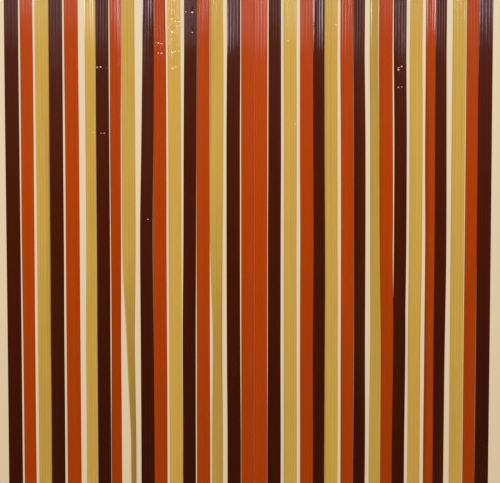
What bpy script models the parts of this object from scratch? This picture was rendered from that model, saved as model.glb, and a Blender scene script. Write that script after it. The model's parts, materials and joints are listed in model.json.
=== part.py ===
"""Strip door curtain: ribbed PVC ribbons hung by welded loops on a rod inside an aluminium head rail.

Metres, Z up. Z = 0 is the underside of the lintel that the top clips are screwed to.
X runs along the rail. The side that the photograph shows faces -Y.
"""

import math
from collections import namedtuple

import bmesh
import bpy
from mathutils import Matrix

# Room left between two pieces that touch in the real curtain.
PLAY = 0.0003
# Points closer than this are one point.
WELD = 0.00001

# Ribbons, as they hang. CREST, VALLEY and EDGE are thicknesses across the ribs, between them and at the sides.
RIBBON_WIDTH = 0.0250
CREST = 0.0018
VALLEY = 0.0011
EDGE = 0.0010
RIBS = 4
CURTAIN_DROP = 2.000
TONGUE_WIDTH = 0.0150
LOOP_WALL = 0.0012
NECK_BELOW_ROD = 0.0105
FLAP_LENGTH = 0.0080
FLAP_THICKNESS = 0.0010
FLARE_LENGTH = 0.0360
# The round part of a loop, in degrees up from +Y: where it starts and how far it goes round.
LOOP_ARC_START = -35
LOOP_ARC = 250

# Heights of the last three turns below, as shares of the drop.
TURN_HEIGHT_SHARES = (0.34, 0.46, 0.56)
# How much of its last turn a ribbon has at its end.
END_TURN_SHARE = 1.10

# Colour and turns of each ribbon, from the left of the photograph to its right, chosen by hand. The turns are in
# degrees about the ribbon's own length: just below the flare, then at each of the heights above.
RIBBONS = (
    ("brown", 15, 15, 15, 15), ("orange", -15, -15, -20, -20), ("ochre", 20, 20, 30, 30),
    ("brown", -5, -5, -5, -5), ("orange", 15, 15, 10, 10), ("ochre", -30, -35, -35, -35),
    ("brown", 30, 25, 25, 25), ("orange", -20, -35, -40, -35), ("ochre", 30, 20, 50, 50),
    ("brown", -40, -20, -15, -10), ("orange", 30, 20, 25, 25), ("ochre", -15, -20, -20, -10),
    ("brown", 25, 25, 20, 25), ("orange", -20, -15, -15, -10), ("ochre", -25, 20, 50, 40),
    ("brown", -20, -10, -10, -10), ("orange", 20, 20, 20, 20), ("orange", -20, -20, -20, -20),
    ("brown", 30, 20, 20, 10), ("ochre", -15, -25, -25, -20), ("orange", 5, 20, 20, 15),
    ("brown", -40, -40, -35, -40), ("ochre", 25, 20, 15, 5), ("orange", -35, -25, -25, -30),
    ("brown", 25, 35, 35, 30), ("ochre", -60, -55, -50, -45), ("orange", 5, 5, 15, 25),
    ("brown", -25, -35, -35, -35), ("ochre", 30, 25, 25, 20), ("orange", -55, -55, -55, -55),
    ("brown", 30, 30, 30, 30), ("ochre", -30, -30, -30, -30), ("orange", 20, 20, 20, 20),
    ("brown", -20, -20, -20, -20),
)
# Clear space between each ribbon and the next, as a share of the ribbon's width. The smallest share is for two
# ribbons that touch.
GAP_SHARES = (
    0.10, 0.12, 0.02, 0.14, 0.41, 0.013, 0.013, 0.02, 0.34, 0.013, 0.13, 0.12, 0.013, 0.013, 0.26, 0.06, 0.013,
    0.02, 0.16, 0.21, 0.013, 0.013, 0.19, 0.013, 0.33, 0.013, 0.013, 0.22, 0.23, 0.013, 0.37, 0.05, 0.013,
)

# Hanging rod.
ROD_DIAMETER = 0.0080
ROD_END_SHORT = 0.0006

# Head rail: an upside-down channel with an ear along each top edge and a square port inside each top corner.
RAIL_WALL = 0.0014
EAR = 0.0018
LOOP_SIDE_ROOM = 0.0020
LOOP_HEADROOM = 0.0050
SKIRT_BELOW_ROD = 0.0035
PORT_BORE = 0.0030
PORT_WALL = 0.0011
PORT_SLOT = 0.0012
END_ROOM = 0.0092

# End caps.
CAP_THICKNESS = 0.0024
CAP_OVERHANG = 0.0004
CAP_CORNER = 0.0010
LOOP_END_ROOM = 0.0006

# Self-tapping screws of the end caps and the rod supports.
TAPPER_DIAMETER = 0.0024
TAPPER_HEAD = 0.0044
TAPPER_HEAD_DEPTH = 0.0012
TAPPER_LENGTH = 0.0090
PAN_HEAD = 0.0050
PAN_HEAD_HEIGHT = 0.0014
PAN_CROWN_SHARE = 0.6
PAN_SCREW_LENGTH = 0.0060

# Rod supports, each after the ribbon of that number.
SUPPORTS_AFTER = (11, 23)
SUPPORT_PLATE = 0.0024
SUPPORT_FOOT_LENGTH = 0.0070
SUPPORT_FOOT_WIDTH = 0.0100
SUPPORT_FOOT_HEIGHT = 0.0042
SUPPORT_NECK = 0.0044
SUPPORT_RIM = 0.0022

# Top clips, at these shares of the rail's length from its middle, and their wood screws.
CLIP_SHARES = (-0.34, 0.0, 0.34)
CLIP_LENGTH = 0.0300
CLIP_PLATE = 0.0030
CLIP_WALL = 0.0020
CLIP_LIP = 0.0018
CLIP_SCREW_SPACING = 0.0180
WOOD_SCREW_DIAMETER = 0.0035
WOOD_SCREW_HEAD = 0.0068
WOOD_SCREW_HEAD_DEPTH = 0.0020
WOOD_SCREW_LENGTH = 0.0250
WOOD_SCREW_POINT = 0.0040
HEAD_RECESS = 0.0002

ROUND_SIDES = 14
LOOP_SIDES = 8
SCREW_SIDES = 8
# Edges that turn by more degrees than this stay sharp.
SHARP = 35

COLOURS = {"brown": (0.050, 0.011, 0.004), "orange": (0.450, 0.062, 0.006), "ochre": (0.560, 0.340, 0.070)}

# A height on a ribbon, the ribbon's turn there in degrees, and its width there as a share of its full width.
Station = namedtuple("Station", "z turn width_share")


def around(radius, sides):
    """The radius of the polygon with that many sides whose flats stand at the given radius."""
    return radius / math.cos(math.pi / sides)


def circle(radius, sides, y, z):
    turns = [math.tau * k / sides for k in range(sides)]
    return [(y + radius * math.cos(t), z + radius * math.sin(t)) for t in turns]


def both_sides(right):
    """An outline from its right half, listed from the top down and back up."""
    return right + [(-y, z) for y, z in reversed(right)]


def start():
    for item in list(bpy.data.objects):
        bpy.data.objects.remove(item, do_unlink=True)
    made = []
    for name in ("strip_door_curtain", "cutters"):
        collection = bpy.data.collections.new(name)
        bpy.context.scene.collection.children.link(collection)
        made.append(collection)
    made[1].hide_render = True
    return made


def material(name, colour, metallic, roughness):
    made = bpy.data.materials.new(name)
    made.use_nodes = True
    shader = made.node_tree.nodes["Principled BSDF"]
    shader.inputs["Base Color"].default_value = (*colour, 1.0)
    shader.inputs["Metallic"].default_value = metallic
    shader.inputs["Roughness"].default_value = roughness
    return made


def mesh_of(item):
    """The finished mesh of an object, welded and facing out. The object itself goes."""
    bpy.context.view_layer.update()
    evaluated = item.evaluated_get(bpy.context.evaluated_depsgraph_get())
    mesh = bpy.data.meshes.new_from_object(evaluated)
    work = bmesh.new()
    work.from_mesh(mesh)
    bmesh.ops.remove_doubles(work, verts=work.verts, dist=WELD)
    bmesh.ops.recalc_face_normals(work, faces=work.faces)
    work.to_mesh(mesh)
    work.free()
    bpy.data.objects.remove(item, do_unlink=True)
    return mesh


def place(name, mesh, collection, finish=None, matrix=None):
    item = bpy.data.objects.new(name, mesh)
    collection.objects.link(item)
    if matrix is not None:
        item.matrix_world = matrix
    if finish is not None:
        mesh.materials.clear()
        mesh.materials.append(finish)
    mesh.name = name
    return item


def drawn_mesh(name, corners, way):
    """A solid from a flat outline, given by its corners in turn, drawn out by a vector."""
    work = bmesh.new()
    verts = [work.verts.new(corner) for corner in corners]
    edges = [work.edges.new(pair) for pair in zip(verts, verts[1:] + verts[:1])]
    end = bmesh.ops.edgeloop_fill(work, edges=edges)["faces"]
    made = bmesh.ops.extrude_face_region(work, geom=end)["geom"]
    drawn = [g for g in made if isinstance(g, bmesh.types.BMVert)]
    bmesh.ops.translate(work, verts=drawn, vec=way)
    bmesh.ops.recalc_face_normals(work, faces=work.faces)
    mesh = bpy.data.meshes.new(name)
    work.to_mesh(mesh)
    work.free()
    return mesh


def bar_mesh(name, outline, length):
    """A straight bar along X, centred on X = 0, from its outline in Y and Z."""
    return drawn_mesh(name, [(-length / 2, y, z) for y, z in outline], (length, 0, 0))


def turned_mesh(name, profile, sides):
    """A round piece about Z from a profile of radius and height, listed from the top down."""
    mesh = bpy.data.meshes.new(name)
    mesh.from_pydata([(r, 0, z) for r, z in profile], [(k, k + 1) for k in range(len(profile) - 1)], [])
    item = bpy.data.objects.new(name, mesh)
    bpy.context.scene.collection.objects.link(item)
    screw = item.modifiers.new("turn", "SCREW")
    screw.axis = "Z"
    screw.steps = sides
    screw.render_steps = sides
    screw.use_merge_vertices = True
    screw.merge_threshold = WELD
    return mesh_of(item)


def smooth(item):
    item.data.shade_smooth()
    item.data.set_sharp_from_angle(angle=math.radians(SHARP))


def cut(item, cutter, operation="DIFFERENCE"):
    cutter.hide_render = True
    cutter.display_type = "WIRE"
    change = item.modifiers.new(cutter.name, "BOOLEAN")
    change.operation = operation
    change.solver = "EXACT"
    change.object = cutter


def ribbon_section():
    """The ribbon's outline seen from above: ribs side by side on both faces."""
    front = [(-RIBBON_WIDTH / 2, EDGE / 2)]
    rib = RIBBON_WIDTH / RIBS
    for k in range(RIBS):
        left = -RIBBON_WIDTH / 2 + k * rib
        if k:
            front.append((left, VALLEY / 2))
        front.append((left + rib / 2, CREST / 2))
    front.append((RIBBON_WIDTH / 2, EDGE / 2))
    return [(x, -y) for x, y in front] + [(x, y) for x, y in reversed(front)]


def half_span(section, turn):
    """How far a turned section reaches to either side of its middle."""
    c, s = math.cos(math.radians(turn)), math.sin(math.radians(turn))
    return max(abs(x * c) + abs(y * s) for x, y in section)


def ribbon_places(section):
    """Where each ribbon hangs along the rod, and half the room that they take together."""
    spans = []
    for _, *turns in RIBBONS:
        spans.append([half_span(section, t) for t in (*turns, turns[-1] * END_TURN_SHARE)])
    places = [max(spans[0])]
    for k, gap_share in enumerate(GAP_SHARES):
        step = max(a + b for a, b in zip(spans[k], spans[k + 1]))
        places.append(places[-1] + step + gap_share * RIBBON_WIDTH)
    half = (places[-1] + max(spans[-1])) / 2
    return [x - half for x in places], half


def push(work, face, before, after):
    """Draws the bottom face of a ribbon out from one station to the next."""
    drawn = bmesh.ops.extrude_discrete_faces(work, faces=[face])["faces"][0]
    unturn = Matrix.Rotation(-math.radians(before.turn), 4, "Z")
    widen = Matrix.Scale(after.width_share / before.width_share, 4, (1, 0, 0))
    turn = Matrix.Rotation(math.radians(after.turn), 4, "Z")
    drop = Matrix.Translation((0, 0, after.z - before.z))
    bmesh.ops.transform(work, matrix=drop @ turn @ widen @ unturn, verts=drawn.verts)
    return drawn


def ribbon_head(section, tongue_share, rod_hole, loop_radius):
    """The top of a ribbon, about the rod's axis: the loop, its welded flap and the tongue down to just below it."""
    neck = -NECK_BELOW_ROD
    flap_end = neck - FLAP_LENGTH
    tongue_end = flap_end - CREST
    inside_weld = (neck - loop_radius) / 2
    corners = [(x * tongue_share, y, inside_weld) for x, y in section]
    tongue_mesh = drawn_mesh("tongue", corners, (0, 0, tongue_end - inside_weld))
    tongue = place("tongue", tongue_mesh, bpy.context.scene.collection)

    arc = [math.radians(LOOP_ARC_START + LOOP_ARC * k / LOOP_SIDES) for k in range(LOOP_SIDES + 1)]
    outline = [(loop_radius * math.cos(t), loop_radius * math.sin(t)) for t in arc]
    front = -CREST / 2 - PLAY
    back = CREST / 2 + FLAP_THICKNESS
    outline += [(front, neck), (0, neck), (0, flap_end), (back, flap_end), (back, neck)]
    width = TONGUE_WIDTH + 2 * PLAY
    loop = place("loop", bar_mesh("loop", outline, width), bpy.context.scene.collection)
    hole_mesh = bar_mesh("rod_hole", circle(rod_hole, LOOP_SIDES, 0, 0), width * 2)
    hole = place("rod_hole", hole_mesh, bpy.context.scene.collection)
    cut(tongue, loop, "UNION")
    cut(tongue, hole)
    head = mesh_of(tongue)
    bpy.data.objects.remove(loop, do_unlink=True)
    bpy.data.objects.remove(hole, do_unlink=True)
    return head, tongue_end


def ribbon_mesh(name, head, tongue_end, tongue_share, turns, length):
    """A whole ribbon, hanging from its loop."""
    stations = [Station(tongue_end, 0, tongue_share), Station(tongue_end - FLARE_LENGTH, turns[0], 1)]
    stations += [Station(-length * share, turn, 1) for share, turn in zip(TURN_HEIGHT_SHARES, turns[1:])]
    stations.append(Station(-length, turns[-1] * END_TURN_SHARE, 1))
    work = bmesh.new()
    work.from_mesh(head)
    face = min(work.faces, key=lambda f: f.calc_center_median().z)
    for before, after in zip(stations, stations[1:]):
        face = push(work, face, before, after)
    bmesh.ops.recalc_face_normals(work, faces=work.faces)
    mesh = bpy.data.meshes.new(name)
    work.to_mesh(mesh)
    work.free()
    return mesh


def countersunk(point_z, length, diameter, head, head_depth, point, room=0.0):
    """Profile of a countersunk screw that points up, with its point at point_z. Room makes it a cutter."""
    r, h = diameter / 2 + room, head / 2 + room
    end = point_z - length
    return [
        (0, point_z + room), (r / 2, point_z + room), (r, point_z - point),
        (r, end + head_depth), (h, end), (h, end - room), (0, end - room),
    ]


def build():
    parts, cutters = start()
    aluminium = material("anodised_aluminium", (0.62, 0.61, 0.59), 1.0, 0.35)
    steel = material("zinc_plated_steel", (0.66, 0.66, 0.65), 1.0, 0.3)
    nylon = material("moulded_nylon", (0.045, 0.022, 0.012), 0.0, 0.5)
    pvc = {name: material("pvc_" + name, colour, 0.0, 0.25) for name, colour in COLOURS.items()}

    section = ribbon_section()
    tongue_share = TONGUE_WIDTH / RIBBON_WIDTH
    places, half_room = ribbon_places(section)
    rail_half = half_room + END_ROOM

    rod_hole = around(ROD_DIAMETER / 2 + PLAY, LOOP_SIDES)
    loop_radius = rod_hole + LOOP_WALL
    rail_top = -CLIP_PLATE - PLAY
    under = rail_top - RAIL_WALL
    rod_z = under - LOOP_HEADROOM - loop_radius
    skirt_end = rod_z - SKIRT_BELOW_ROD
    arm_out = loop_radius + LOOP_SIDE_ROOM
    arm_in = arm_out + PORT_WALL
    inner = arm_in + PORT_BORE
    outer = inner + RAIL_WALL
    ear = outer + EAR
    port_floor = under - PORT_BORE
    arm_end = port_floor - PORT_WALL
    port_y = inner - PORT_BORE / 2
    port_z = under - PORT_BORE / 2

    # Head rail.
    rail_outline = both_sides([
        (ear, rail_top), (ear, under), (outer, under), (outer, skirt_end), (inner, skirt_end), (inner, under),
        (arm_in, under), (arm_in, port_floor), (inner - PORT_SLOT, port_floor), (inner - PORT_SLOT, arm_end),
        (arm_out, arm_end), (arm_out, under),
    ])
    rail = place("head_rail", bar_mesh("head_rail", rail_outline, rail_half * 2), parts, aluminium)

    # Hanging rod.
    rod_half = rail_half - ROD_END_SHORT
    rod_outline = circle(ROD_DIAMETER / 2, ROUND_SIDES, 0, 0)
    rod_mesh = bar_mesh("hanging_rod", rod_outline, rod_half * 2)
    rod = place("hanging_rod", rod_mesh, parts, steel, Matrix.Translation((0, 0, rod_z)))
    smooth(rod)

    # Rod supports and their screws.
    eye = around(ROD_DIAMETER / 2 + PLAY, ROUND_SIDES)
    foot_top = under - PLAY
    foot_end = foot_top - SUPPORT_FOOT_HEIGHT
    pilot = around(TAPPER_DIAMETER / 2 + PLAY, SCREW_SIDES)
    for number, after in enumerate(SUPPORTS_AFTER, 1):
        x = (places[after - 1] + places[after]) / 2
        rim = eye + SUPPORT_RIM
        neck_turn = math.asin(SUPPORT_NECK / 2 / rim)
        sweep = (math.tau - 2 * neck_turn) / ROUND_SIDES
        arc = [math.pi / 2 - neck_turn - sweep * k for k in range(ROUND_SIDES + 1)]
        outline = [(rim * math.cos(t), rod_z + rim * math.sin(t)) for t in arc]
        outline += [(-SUPPORT_NECK / 2, foot_top - PLAY), (SUPPORT_NECK / 2, foot_top - PLAY)]
        plate = bar_mesh("support_plate", outline, SUPPORT_PLATE)
        eye_mesh = bar_mesh("support_eye", circle(eye, ROUND_SIDES, 0, rod_z), SUPPORT_FOOT_LENGTH)
        side = SUPPORT_FOOT_WIDTH / 2
        foot_outline = both_sides([(side, foot_top), (side, foot_end)])
        foot = bar_mesh("support_foot", foot_outline, SUPPORT_FOOT_LENGTH)
        shift = Matrix.Translation((x, 0, 0))
        support = place(f"rod_support_{number}", foot, parts, nylon, shift)
        cut(support, place(f"support_plate_{number}", plate, cutters, None, shift), "UNION")
        cut(support, place(f"support_eye_{number}", eye_mesh, cutters, None, shift))
        bottom = rail_top + PLAY - PAN_SCREW_LENGTH - PLAY
        bore = [(0, rail_top + PLAY), (pilot, rail_top + PLAY), (pilot, bottom), (0, bottom)]
        bore_name = f"support_bore_{number}"
        bore_cutter = place(bore_name, turned_mesh(bore_name, bore, SCREW_SIDES), cutters, None, shift)
        cut(support, bore_cutter)
        cut(rail, bore_cutter)
        head_z = rail_top + PLAY
        r, h = TAPPER_DIAMETER / 2, PAN_HEAD / 2
        profile = [
            (0, head_z + PAN_HEAD_HEIGHT), (h * PAN_CROWN_SHARE, head_z + PAN_HEAD_HEIGHT),
            (h, head_z + PAN_HEAD_HEIGHT / 2),
            (h, head_z), (r, head_z), (r, head_z - PAN_SCREW_LENGTH + r), (r / 2, head_z - PAN_SCREW_LENGTH),
            (0, head_z - PAN_SCREW_LENGTH),
        ]
        name = f"support_screw_{number}"
        smooth(place(name, turned_mesh(name, profile, SCREW_SIDES), parts, steel, shift))

    # End caps and their screws.
    plug_length = END_ROOM + half_span(section, RIBBONS[0][1]) - TONGUE_WIDTH / 2 - PLAY - LOOP_END_ROOM
    cap_top = rail_top + CAP_OVERHANG - PLAY
    cap_end = skirt_end - CAP_OVERHANG
    cap_side = ear + CAP_OVERHANG
    cap_outline = both_sides([
        (cap_side - CAP_CORNER, cap_top), (cap_side, cap_top - CAP_CORNER),
        (cap_side, cap_end + CAP_CORNER), (cap_side - CAP_CORNER, cap_end),
    ])
    plug_side = inner - PLAY
    plug_outline = both_sides([(plug_side, arm_end - PLAY), (plug_side, skirt_end)])
    screw_end = rail_half + PLAY + CAP_THICKNESS - HEAD_RECESS
    tapper = dict(length=TAPPER_LENGTH, diameter=TAPPER_DIAMETER, head=TAPPER_HEAD,
                  head_depth=TAPPER_HEAD_DEPTH, point=TAPPER_DIAMETER / 2)
    for side_name, sign in (("left", -1), ("right", 1)):
        cap_x = sign * (rail_half + PLAY + CAP_THICKNESS / 2)
        cap_mesh = bar_mesh("end_cap", cap_outline, CAP_THICKNESS)
        cap = place(f"end_cap_{side_name}", cap_mesh, parts, nylon, Matrix.Translation((cap_x, 0, 0)))
        overlap = CAP_THICKNESS / 2
        plug_x = sign * (rail_half + PLAY + (overlap - plug_length) / 2)
        plug_mesh = bar_mesh("plug", plug_outline, plug_length + overlap)
        plug = place(f"plug_{side_name}", plug_mesh, cutters, None, Matrix.Translation((plug_x, 0, 0)))
        cut(cap, plug, "UNION")
        socket_in = rod_half + PLAY
        socket_out = rail_half - plug_length - CAP_THICKNESS
        socket_mesh = bar_mesh("socket", circle(eye, ROUND_SIDES, 0, rod_z), socket_in - socket_out)
        socket_x = sign * (socket_in + socket_out) / 2
        socket = place(f"socket_{side_name}", socket_mesh, cutters, None, Matrix.Translation((socket_x, 0, 0)))
        cut(cap, socket)
        for where, y_sign in (("front", -1), ("back", 1)):
            # The screw's profile points up, so it is laid along X with its point towards the rail's middle.
            lay = Matrix.Rotation(-sign * math.pi / 2, 4, "Y")
            at = Matrix.Translation((sign * screw_end, y_sign * port_y, port_z)) @ lay
            name = f"cap_screw_{side_name}_{where}"
            smooth(place(name, turned_mesh(name, countersunk(TAPPER_LENGTH, **tapper), SCREW_SIDES), parts, steel, at))
            room = around(TAPPER_HEAD / 2 + PLAY, SCREW_SIDES) - TAPPER_HEAD / 2
            hole_name = f"cap_hole_{side_name}_{where}"
            hole = turned_mesh(hole_name, countersunk(TAPPER_LENGTH, room=room, **tapper), SCREW_SIDES)
            cut(cap, place(hole_name, hole, cutters, None, at))

    # Top clips and their screws.
    clip_in = ear + PLAY
    clip_out = clip_in + CLIP_WALL
    lip_top = under - PLAY
    lip_end = lip_top - CLIP_LIP
    lip_in = outer + PLAY
    clip_outline = both_sides([
        (clip_out, 0), (clip_out, lip_end), (lip_in, lip_end), (lip_in, lip_top), (clip_in, lip_top),
        (clip_in, -CLIP_PLATE),
    ])
    wood = dict(length=WOOD_SCREW_LENGTH, diameter=WOOD_SCREW_DIAMETER, head=WOOD_SCREW_HEAD,
                head_depth=WOOD_SCREW_HEAD_DEPTH, point=WOOD_SCREW_POINT)
    point_z = WOOD_SCREW_LENGTH - CLIP_PLATE + HEAD_RECESS
    for number, share in enumerate(CLIP_SHARES, 1):
        clip_x = share * rail_half * 2
        clip_mesh = bar_mesh("top_clip", clip_outline, CLIP_LENGTH)
        clip = place(f"top_clip_{number}", clip_mesh, parts, nylon, Matrix.Translation((clip_x, 0, 0)))
        for which, x_sign in (("a", -1), ("b", 1)):
            at = Matrix.Translation((clip_x + x_sign * CLIP_SCREW_SPACING / 2, 0, 0))
            name = f"clip_screw_{number}{which}"
            smooth(place(name, turned_mesh(name, countersunk(point_z, **wood), SCREW_SIDES), parts, steel, at))
            room = around(WOOD_SCREW_HEAD / 2 + PLAY, SCREW_SIDES) - WOOD_SCREW_HEAD / 2
            hole_name = f"clip_hole_{number}{which}"
            hole = turned_mesh(hole_name, countersunk(point_z, room=room, **wood), SCREW_SIDES)
            cut(clip, place(hole_name, hole, cutters, None, at))

    # Ribbons.
    head, tongue_end = ribbon_head(section, tongue_share, rod_hole, loop_radius)
    length = CURTAIN_DROP + rod_z
    for number, ((colour, *turns), x) in enumerate(zip(RIBBONS, places), 1):
        name = f"ribbon_{number:02d}"
        mesh = ribbon_mesh(name, head, tongue_end, tongue_share, turns, length)
        place(name, mesh, parts, pvc[colour], Matrix.Translation((x, 0, rod_z)))
    bpy.data.meshes.remove(head)


build()
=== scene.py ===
"""How the strip door curtain looks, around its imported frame. Metres, Z up, seen from -Y."""

import json
import math
from collections import namedtuple

import bmesh
import bpy
import numpy as np
from mathutils import Matrix, Vector


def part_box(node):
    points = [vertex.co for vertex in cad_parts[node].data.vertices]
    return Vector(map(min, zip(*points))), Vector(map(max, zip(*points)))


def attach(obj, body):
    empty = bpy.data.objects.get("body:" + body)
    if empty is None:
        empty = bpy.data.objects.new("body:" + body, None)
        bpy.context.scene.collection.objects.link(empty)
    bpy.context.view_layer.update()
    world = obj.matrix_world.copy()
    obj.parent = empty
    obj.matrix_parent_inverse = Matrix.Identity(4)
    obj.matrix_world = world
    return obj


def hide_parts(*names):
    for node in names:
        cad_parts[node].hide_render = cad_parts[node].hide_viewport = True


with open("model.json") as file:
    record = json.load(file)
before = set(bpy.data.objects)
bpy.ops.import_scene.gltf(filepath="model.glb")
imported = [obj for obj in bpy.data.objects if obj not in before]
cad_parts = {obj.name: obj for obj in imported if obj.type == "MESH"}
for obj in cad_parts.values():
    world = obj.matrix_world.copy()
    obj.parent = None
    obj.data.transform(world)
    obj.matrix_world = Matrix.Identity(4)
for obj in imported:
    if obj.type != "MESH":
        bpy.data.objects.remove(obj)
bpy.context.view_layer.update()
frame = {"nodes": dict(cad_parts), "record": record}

MM = 0.001

# Photograph's width and the camera's focal length in pixels, where the camera stands, how many degrees it
# looks down, its sensor in millimetres and how far it sees.
PHOTO_WIDTH = 500
FOCAL_PIXELS = 1100
CAMERA_X = 0.0025
CAMERA_DISTANCE = 2.000
CAMERA_PITCH = 3.0
MIDDLE_Z = -0.740
SENSOR = 36.0
CLIP_END = 50

# Ribbon section, as in the frame. The ribs are rounded on both faces.
RIB = 0.00625
RIBS = 4
CREST = 0.0018
VALLEY = 0.0011
EDGE = 0.0010
EDGE_REACH_SHARE = 0.8
# How much wider a rounded ribbon is on each side than its packed one.
EDGE_FULLNESS = 0.0001
STEPS_A_RIB = 8
EDGE_STEPS = 3

# The fewest points in a cross-section of a packed ribbon.
LEAST_IN_RING = 18

# Loop, measured from the rod's axis: middle of the strip round the rod, neck, and the welded flap.
LOOP_RADIUS = 0.00497
LOOP_CREST = 0.00128
LOOP_VALLEY = 0.00108
NECK = -0.0108
NECK_FRONT = -0.00035
FLAP_BACK = 0.00137
FLAP_START = 0.0008
FLAP_END = -0.0185
FLAP_CREST = 0.0010
FLAP_VALLEY = 0.0009
WELDS = (-0.0137, -0.0163)
WELD_HALF = 0.0007
WELD_DEPTH_SHARE = 0.30
# How many rings each stretch of the loop has, and which shares of its two straight legs they cover.
LEG_RINGS = 6
ARC_RINGS = 30
FLAP_RINGS = 22
FRONT_LEG = (0.12, 0.92)
BACK_LEG = (0.08, 0.88)
# From the last ring of the strip to the first of the loop, along the strip.
FIRST_STEP = 0.001

# How far apart a ribbon's cross-sections are, and the natural bends of soft PVC.
RING_STEP = 0.018
FLARE_RINGS = 13
TONGUE_RINGS = 18
SWAY_Y = 0.0014
SWAY_TURN = 0.7
SWAY_FROM = 0.35
SWAY_ABOVE = 0.02
# Shortest and longest wave of a sway, and how two waves share it.
SWAY_LENGTHS = (0.45, 1.3)
SWAY_SHARES = (0.7, 0.3)
# Ribbons that sway the other way, to the back where the others come forward.
SWAY_TURNED = (10, 15, 18, 19, 21, 22, 25, 28)
LEAN_FROM = 0.20
LEAN_STEPS = 120
# Room between two ribbons that touch, the widest gap that their touching closes, and over what height it sets
# in.
EDGE_ROOM = 0.00012
TOUCH_MOST = 0.0035
TOUCH_FADE = 0.06

# The bends that some ribbons have of their own, at these heights below the lintel: how far they lean to the
# right in millimetres, and how many degrees they turn further than in the frame. Both die away at the top.
BEND_HEIGHTS = (-0.40, -0.57, -0.75, -0.94, -1.10)
STRAIGHT = (0.0, 0.0, 0.0, 0.0, 0.0)
LEANS = {
    3: (1.0, 1.2, 1.2, 1.0, 1.0),
    5: (0.5, 0.6, 0.6, 0.6, 0.6),
    6: (1.0, 1.0, 1.0, 0.0, 0.0),
    7: (1.5, 0.5, 0.0, 1.0, 1.5),
    8: (1.0, 0.0, 0.0, -0.5, -1.0),
    9: (0.0, 0.0, 0.0, 2.7, 6.8),
    10: (4.0, 2.0, -0.5, 0.0, 0.5),
    12: (-0.5, 0.0, 0.0, 0.5, 1.5),
    13: (2.5, 1.0, 0.0, -1.5, -1.5),
    15: (-2.5, -2.5, -0.5, 1.5, 1.0),
    16: (0.5, -0.5, -0.5, 0.0, 1.0),
    19: (0.0, 0.0, -0.5, -0.5, -0.5),
    20: (-1.0, 0.0, 0.0, 0.5, 1.0),
    21: (-1.0, -0.5, 0.7, 0.3, 1.0),
    24: (-3.0, -1.0, 0.0, 0.5, 0.5),
    26: (-4.5, -2.3, -1.0, 1.0, 0.5),
    27: (-4.5, -2.5, -1.0, 1.0, 1.0),
    28: (-3.0, -1.0, -0.5, -1.5, -1.5),
    29: (-2.0, -1.0, -0.5, -1.5, -1.5),
    30: (-1.0, -0.5, 0.5, 0.0, 0.0),
}
TWISTS = {
    6: (0.0, 0.0, 0.0, 4.0, 4.0),
    9: (0.0, 0.0, 0.0, 13.0, 24.0),
    11: (11.0, 5.0, -8.0, -6.0, 0.0),
    14: (-10.0, -6.0, 0.0, 0.0, 0.0),
    21: (0.0, -8.0, -9.0, -2.0, 0.0),
    23: (-9.0, -8.0, 0.0, 0.0, 0.0),
    25: (-4.0, -6.0, -6.0, -4.0, -5.0),
    26: (0.0, 0.0, 0.0, 3.0, 5.0),
    29: (-8.0, -12.0, -12.0, -8.0, 0.0),
    30: (0.0, 0.0, -4.0, -4.0, 0.0),
    31: (-2.0, -6.0, -11.0, -6.0, -2.0),
}
# Ribbons that touch the next one on their right, and between which heights.
TOUCHING = {
    3: (-2.1, 0.0), 6: (-2.1, 0.0), 10: (-2.1, 0.0), 13: (-0.64, 0.0), 14: (-0.60, 0.0), 17: (-2.1, 0.0),
    21: (-2.1, 0.0), 22: (-2.1, 0.0), 24: (-2.1, 0.0), 26: (-2.1, -0.70), 27: (-2.1, -0.85), 30: (-2.1, 0.0),
    33: (-2.1, 0.0),
}

# Dents by ribbon number: height below the rod, which rib from the left, and depth in millimetres.
DENT_HALF = 0.0020
DENT_RINGS = 11
DENTS = {
    6: ((-0.507, 3, 0.16), (-0.526, 2, 0.40), (-0.525, 3, 0.32)),
    7: ((-0.409, 0, 0.32), (-0.408, 1, 0.34), (-0.409, 3, 0.13), (-0.527, 1, 0.28), (-0.527, 2, 0.36)),
    8: ((-0.527, 0, 0.13),),
    10: ((-0.683, 2, 0.44), (-0.704, 2, 0.20), (-0.704, 1, 0.14)),
    11: ((-0.340, 0, 0.14), (-0.365, 0, 0.16), (-0.365, 1, 0.46), (-0.366, 2, 0.36), (-0.383, 1, 0.38),
         (-0.383, 2, 0.40), (-0.483, 1, 0.13), (-0.483, 2, 0.12)),
    12: ((-0.322, 1, 0.20), (-0.326, 2, 0.24), (-0.327, 3, 0.24), (-0.345, 1, 0.46), (-0.381, 1, 0.42),
         (-0.380, 2, 0.24), (-0.380, 3, 0.18), (-0.410, 1, 0.44), (-0.408, 2, 0.28), (-0.500, 1, 0.18)),
    13: ((-0.310, 2, 0.46), (-0.310, 0, 0.20), (-0.346, 2, 0.22)),
    20: ((-0.319, 1, 0.30), (-0.320, 2, 0.16), (-0.361, 1, 0.20), (-0.512, 2, 0.22), (-0.511, 3, 0.30)),
    21: ((-0.318, 2, 0.18),),
    22: ((-0.330, 0, 0.36), (-0.336, 0, 0.40), (-0.341, 0, 0.46)),
    23: ((-0.331, 3, 0.20), (-0.348, 0, 0.30)),
    26: ((-0.382, 1, 0.14),),
    28: ((-0.413, 1, 0.44), (-0.409, 1, 0.36), (-0.407, 2, 0.36), (-0.444, 1, 0.30), (-0.444, 2, 0.26),
         (-0.467, 1, 0.12), (-0.467, 2, 0.12)),
    31: ((-0.772, 0, 0.18), (-0.778, 0, 0.16), (-0.775, 2, 0.20)),
}
# Faint dents of the lower part, which the photograph doesn't show: how many, the highest place, how far above
# the ribbon's end they start, and the range of depths in millimetres.
LOW_DENTS = 2
LOW_DENTS_FROM = -1.25
LOW_DENTS_END = 0.05
LOW_DENT_DEPTHS = (0.08, 0.16)

# Rod.
ROD_SIDES = 48
ROD_CHAMFER = 0.0005

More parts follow.
